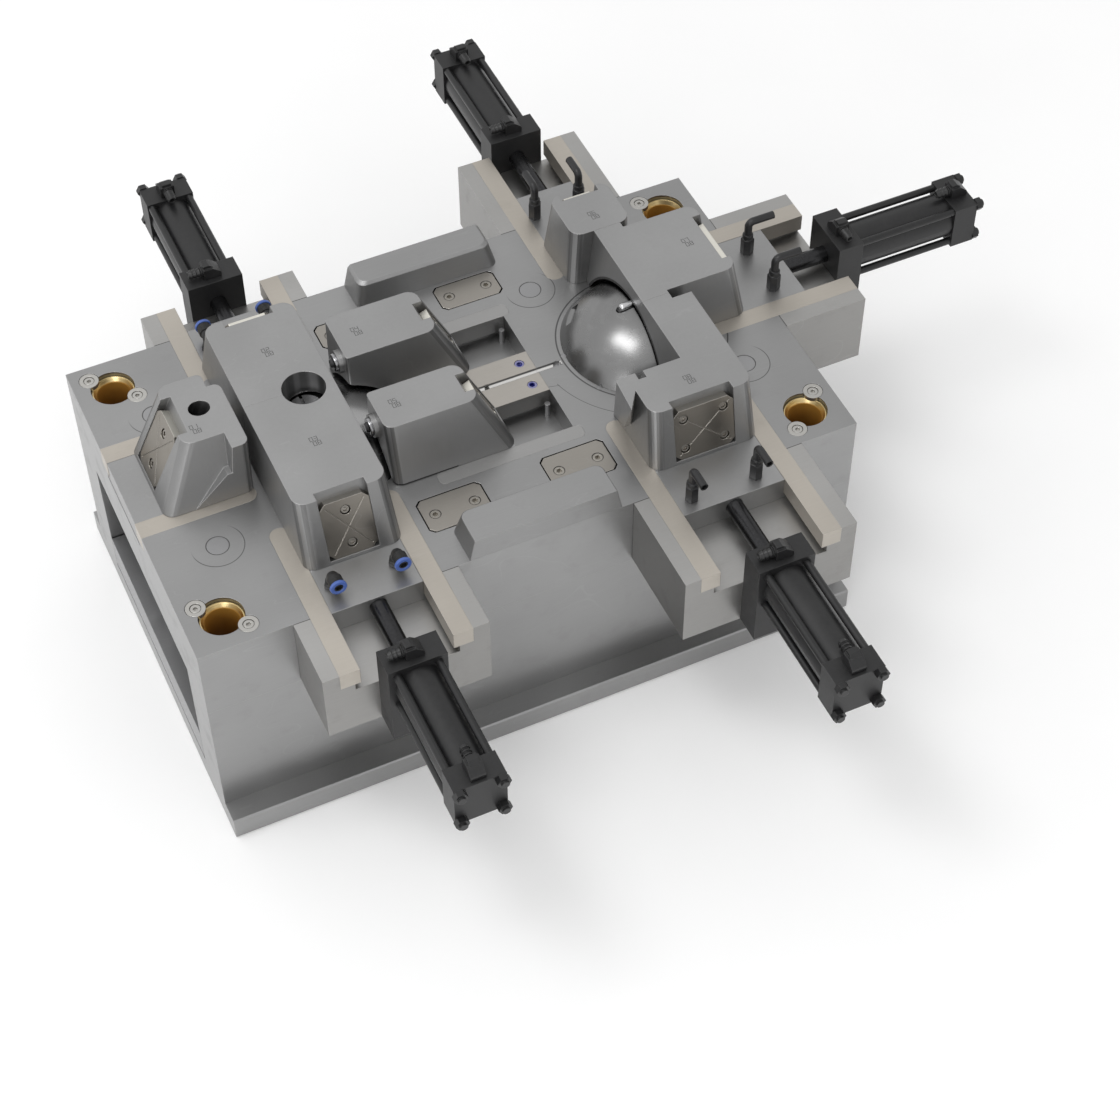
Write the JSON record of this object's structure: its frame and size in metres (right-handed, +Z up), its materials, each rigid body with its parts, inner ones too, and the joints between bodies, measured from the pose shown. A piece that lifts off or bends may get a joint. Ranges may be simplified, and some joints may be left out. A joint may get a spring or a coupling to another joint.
{
  "type": "injection mould core half",
  "caption": "Core half of an injection mould for coolant tank halves, with hydraulic slides closing round domed cores, an angle-pin slide, raised interlocks and an ejector box.",
  "frame": {"origin": "centre of the clamp plate's bottom face, on the axis of the ejector rod hole", "axes": "+Z up to the parting plane, +X along the plates' long side towards the side cylinder, +Y to the back"},
  "size_m": [0.9745, 0.993, 0.34],
  "materials": {
    "tool_steel": "ground, faint milling marks",
    "gib_steel": "ground, warm tan tone",
    "polished_steel": "polished",
    "bright_steel": "ground",
    "bronze": "machined",
    "black_paint": "satin black paint",
    "black_plastic": "satin, with blue release collars"
  },
  "bodies": {
    "mould": {"clamp_plate": "tool_steel", "spacer_blocks": "tool_steel", "support_pillars": "bright_steel", "stop_buttons": "bright_steel", "core_plate": "tool_steel", "raised_interlocks": "tool_steel", "left_core": "polished_steel", "right_core": "polished_steel", "neck_core": "polished_steel", "runner_plate": "gib_steel", "guide_bushes": "bronze", "bush_retainers": "bright_steel", "parting_pads": "gib_steel", "plate_screws": "bright_steel", "pocket_pins": "bright_steel", "slide_gibs": "gib_steel", "bracket_front_left": "tool_steel", "bracket_front_right": "tool_steel", "bracket_right": "tool_steel", "bracket_back_left": "tool_steel", "bracket_back_right": "tool_steel", "cylinder_head_front_left": "black_paint", "cylinder_head_front_right": "black_paint", "cylinder_head_right": "black_paint", "cylinder_head_back_left": "black_paint", "cylinder_head_back_right": "black_paint", "cylinder_barrels": "black_paint", "cylinder_caps": "black_paint", "tie_rods": "black_paint", "port_fittings": "black_paint"},
    "slide_1": {"slide_1_wedge": "tool_steel", "wear_plate_1": "gib_steel"},
    "slide_2": {"slide_2_back_left": "tool_steel", "wear_plate_2": "gib_steel", "piston_rod_back_left": "bright_steel", "fittings_back_left": "black_plastic"},
    "slide_3": {"slide_3_front_left": "tool_steel", "wear_plate_3": "gib_steel", "piston_rod_front_left": "bright_steel", "fittings_front_left": "black_plastic"},
    "slide_4": {"slide_4_inner_back": "tool_steel", "wear_plate_4": "gib_steel"},
    "slide_5": {"slide_5_inner_front": "tool_steel", "wear_plate_5": "gib_steel"},
    "slide_6": {"slide_6_back_right": "tool_steel", "wear_plate_6": "gib_steel", "piston_rod_back_right": "bright_steel", "fittings_back_right": "black_plastic"},
    "slide_7": {"slide_7_right": "tool_steel", "wear_plate_7": "gib_steel", "piston_rod_right": "bright_steel", "fittings_right": "black_plastic", "port_pin": "polished_steel"},
    "slide_8": {"slide_8_front_right": "tool_steel", "wear_plate_8": "gib_steel", "piston_rod_front_right": "bright_steel", "fittings_front_right": "black_plastic"},
    "ejector": {"ejector_plate": "tool_steel", "retainer_plate": "tool_steel", "ejector_pins": "bright_steel"}
  },
  "joints": [
    {"name": "slide_1_travel", "type": "slide", "parent": "mould", "child": "slide_1", "axis": [-1, 0, 0], "range_m": [0, 0.03]},
    {"name": "slide_2_travel", "type": "slide", "parent": "mould", "child": "slide_2", "axis": [0, 1, 0], "range_m": [0, 0.03]},
    {"name": "slide_3_travel", "type": "slide", "parent": "mould", "child": "slide_3", "axis": [0, -1, 0], "range_m": [0, 0.065]},
    {"name": "slide_4_travel", "type": "slide", "parent": "mould", "child": "slide_4", "axis": [1, 0, 0], "range_m": [0, 0.032]},
    {"name": "slide_5_travel", "type": "slide", "parent": "mould", "child": "slide_5", "axis": [1, 0, 0], "range_m": [0, 0.032]},
    {"name": "slide_6_travel", "type": "slide", "parent": "mould", "child": "slide_6", "axis": [0, 1, 0], "range_m": [0, 0.065]},
    {"name": "slide_7_travel", "type": "slide", "parent": "mould", "child": "slide_7", "axis": [1, 0, 0], "range_m": [0, 0.045]},
    {"name": "slide_8_travel", "type": "slide", "parent": "mould", "child": "slide_8", "axis": [0, -1, 0], "range_m": [0, 0.07]},
    {"name": "ejector_stroke", "type": "slide", "parent": "mould", "child": "ejector", "axis": [0, 0, 1], "range_m": [0, 0.06]}
  ]
}
